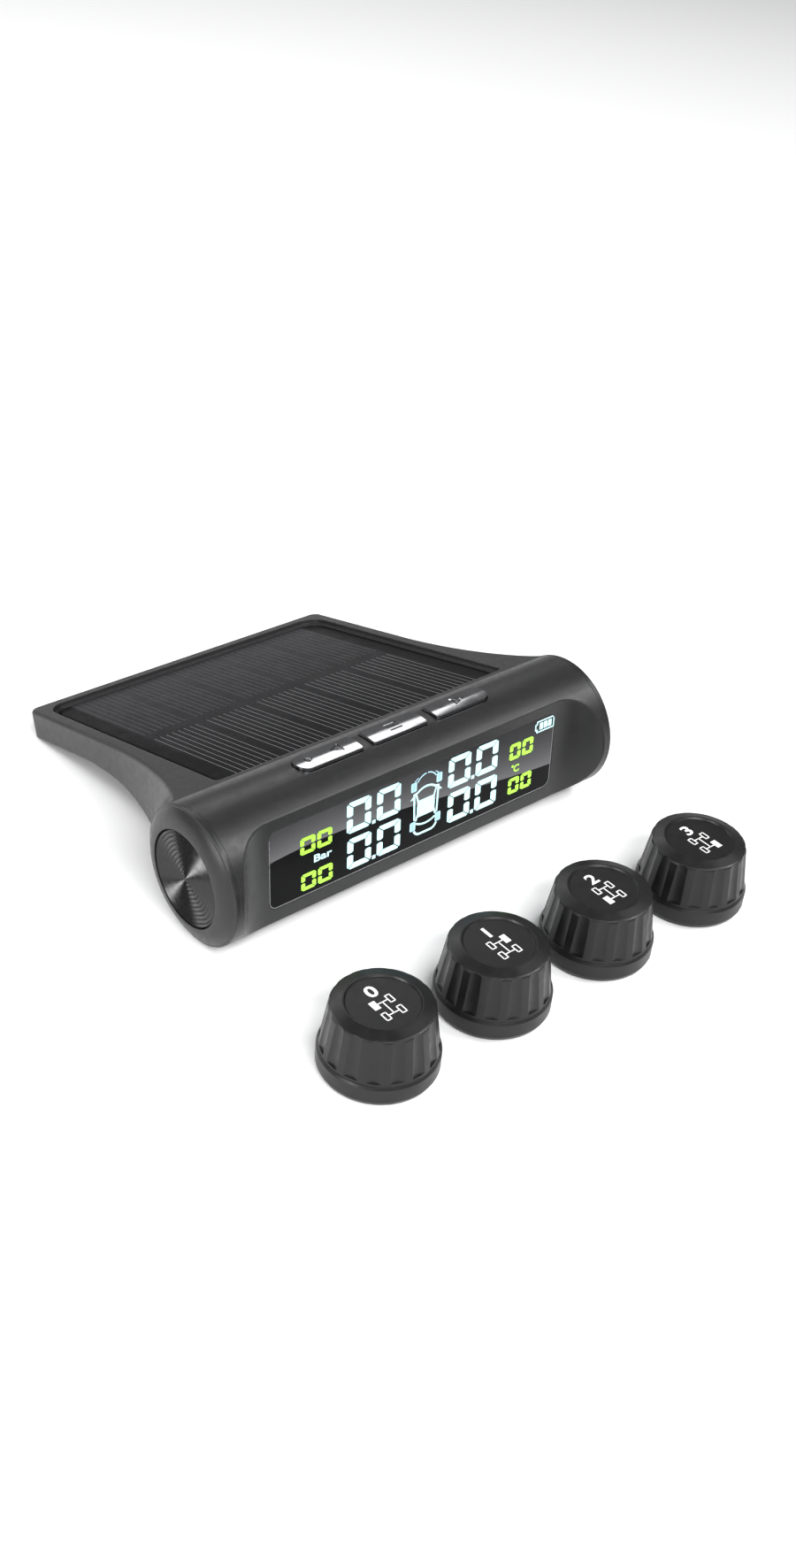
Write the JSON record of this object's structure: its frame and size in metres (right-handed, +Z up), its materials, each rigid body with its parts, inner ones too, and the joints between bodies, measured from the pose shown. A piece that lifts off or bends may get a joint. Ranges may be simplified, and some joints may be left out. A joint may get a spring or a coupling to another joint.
{
  "type": "tire pressure monitor",
  "caption": "Solar dashboard tire pressure display: a tube with a window and three keys, a flat solar wing behind it, and screw-on valve cap sensors.",
  "frame": {"origin": "middle of the underside of the display's base pad, on the surface it stands on", "axes": "+X along the display's tube, to the right seen from the front; the window faces -Y; +Z up"},
  "size_m": [0.0978, 0.1264, 0.0276],
  "materials": {
    "housing": "satin charcoal with a fine spark texture",
    "cover": "satin charcoal",
    "end_cap": "satin charcoal",
    "ring_plate": "semi-gloss black, turned grooves",
    "lens": "smoked gloss",
    "lcd_glass": "gloss",
    "light_guide": "translucent",
    "white_plastic": "moulded white",
    "circuit_board": "green solder mask",
    "chips": "moulded black",
    "copper": "bright copper wire",
    "steel": "nickel plated",
    "cell_foil": "aluminium pouch foil",
    "solar": "black cell under clear resin",
    "lead_red": "insulated wire",
    "screw_steel": "blackened steel",
    "rubber": "matt anti-slip foam rubber",
    "button_chrome": "smoked chrome plating",
    "sensor_cap": "satin black",
    "sensor_base": "satin black",
    "brass": "turned brass",
    "seal": "rubber",
    "lcd_cyan": "lit display segment",
    "lcd_blue": "lit display segment",
    "lcd_lime": "lit display segment",
    "print_white": "screen-printed ink",
    "finger_silver": "printed silver collector lines"
  },
  "bodies": {
    "monitor": {"upper_housing": "housing", "lower_cover": "cover", "left_end_cap": "end_cap", "left_ring_plate": "ring_plate", "right_end_cap": "end_cap", "right_ring_plate": "ring_plate", "display_lens": "lens", "lcd_glass": "lcd_glass", "light_guide": "light_guide", "lcd_frame": "white_plastic", "main_pcb": "circuit_board", "pcb_components": "chips", "antenna_coil": "copper", "buzzer": "chips", "key_board": "circuit_board", "tact_switches": "chips", "usb_socket": "steel", "charge_board": "circuit_board", "battery_cell": "cell_foil", "solar_panel": "solar", "solar_leads": "lead_red", "battery_leads": "lead_red", "case_screws": "screw_steel", "base_pad": "rubber"},
    "left_key": {"left_button": "button_chrome", "left_plunger": "white_plastic"},
    "middle_key": {"middle_button": "button_chrome", "middle_plunger": "white_plastic"},
    "right_key": {"right_button": "button_chrome", "right_plunger": "white_plastic"},
    "fl_sensor": {"fl_sensor_base": "sensor_base", "fl_valve_insert": "brass", "fl_valve_gasket": "seal", "fl_sensor_board": "circuit_board", "fl_coin_cell": "steel"},
    "fl_seal_ring": {"fl_cap_seal": "seal"},
    "fl_cap": {"fl_sensor_cap": "sensor_cap"},
    "fr_sensor": {"fr_sensor_base": "sensor_base", "fr_valve_insert": "brass", "fr_valve_gasket": "seal", "fr_sensor_board": "circuit_board", "fr_coin_cell": "steel"},
    "fr_seal_ring": {"fr_cap_seal": "seal"},
    "fr_cap": {"fr_sensor_cap": "sensor_cap"},
    "rl_sensor": {"rl_sensor_base": "sensor_base", "rl_valve_insert": "brass", "rl_valve_gasket": "seal", "rl_sensor_board": "circuit_board", "rl_coin_cell": "steel"},
    "rl_seal_ring": {"rl_cap_seal": "seal"},
    "rl_cap": {"rl_sensor_cap": "sensor_cap"},
    "rr_sensor": {"rr_sensor_base": "sensor_base", "rr_valve_insert": "brass", "rr_valve_gasket": "seal", "rr_sensor_board": "circuit_board", "rr_coin_cell": "steel"},
    "rr_seal_ring": {"rr_cap_seal": "seal"},
    "rr_cap": {"rr_sensor_cap": "sensor_cap"}
  },
  "joints": [
    {"name": "left_button_press", "type": "slide", "parent": "monitor", "child": "left_key", "axis": [0, -0.0975, -0.9952], "range_m": [0, 0.00045], "stiffness_N_per_m": 1500, "springref_m": -0.0003},
    {"name": "middle_button_press", "type": "slide", "parent": "monitor", "child": "middle_key", "axis": [0, -0.0975, -0.9952], "range_m": [0, 0.00045], "stiffness_N_per_m": 1500, "springref_m": -0.0003},
    {"name": "right_button_press", "type": "slide", "parent": "monitor", "child": "right_key", "axis": [0, -0.0975, -0.9952], "range_m": [0, 0.00045], "stiffness_N_per_m": 1500, "springref_m": -0.0003},
    {"name": "fl_sensor_lift", "type": "slide", "parent": "monitor", "child": "fl_sensor", "axis": [0, 0, 1], "range_m": [0, 0.03]},
    {"name": "fl_cap_rise", "type": "slide", "parent": "fl_sensor", "child": "fl_seal_ring", "axis": [0, 0, 1], "range_m": [0, 0.00101]},
    {"name": "fl_cap_turn", "type": "hinge", "parent": "fl_seal_ring", "child": "fl_cap", "pos_m": [-0.0384, -0.044, 0], "axis": [0, 0, 1], "range_deg": [0, 360]},
    {"name": "fr_sensor_lift", "type": "slide", "parent": "monitor", "child": "fr_sensor", "axis": [0, 0, 1], "range_m": [0, 0.03]},
    {"name": "fr_cap_rise", "type": "slide", "parent": "fr_sensor", "child": "fr_seal_ring", "axis": [0, 0, 1], "range_m": [0, 0.00101]},
    {"name": "fr_cap_turn", "type": "hinge", "parent": "fr_seal_ring", "child": "fr_cap", "pos_m": [-0.0128, -0.044, 0], "axis": [0, 0, 1], "range_deg": [0, 360]},
    {"name": "rl_sensor_lift", "type": "slide", "parent": "monitor", "child": "rl_sensor", "axis": [0, 0, 1], "range_m": [0, 0.03]},
    {"name": "rl_cap_rise", "type": "slide", "parent": "rl_sensor", "child": "rl_seal_ring", "axis": [0, 0, 1], "range_m": [0, 0.00101]},
    {"name": "rl_cap_turn", "type": "hinge", "parent": "rl_seal_ring", "child": "rl_cap", "pos_m": [0.0128, -0.044, 0], "axis": [0, 0, 1], "range_deg": [0, 360]},
    {"name": "rr_sensor_lift", "type": "slide", "parent": "monitor", "child": "rr_sensor", "axis": [0, 0, 1], "range_m": [0, 0.03]},
    {"name": "rr_cap_rise", "type": "slide", "parent": "rr_sensor", "child": "rr_seal_ring", "axis": [0, 0, 1], "range_m": [0, 0.00101]},
    {"name": "rr_cap_turn", "type": "hinge", "parent": "rr_seal_ring", "child": "rr_cap", "pos_m": [0.0384, -0.044, 0], "axis": [0, 0, 1], "range_deg": [0, 360]}
  ],
  "couplings": [
    {"joint": "fl_cap_rise", "follows": "fl_cap_turn", "m_per_rad": 0.00015915},
    {"joint": "fr_cap_rise", "follows": "fr_cap_turn", "m_per_rad": 0.00015915},
    {"joint": "rl_cap_rise", "follows": "rl_cap_turn", "m_per_rad": 0.00015915},
    {"joint": "rr_cap_rise", "follows": "rr_cap_turn", "m_per_rad": 0.00015915}
  ]
}
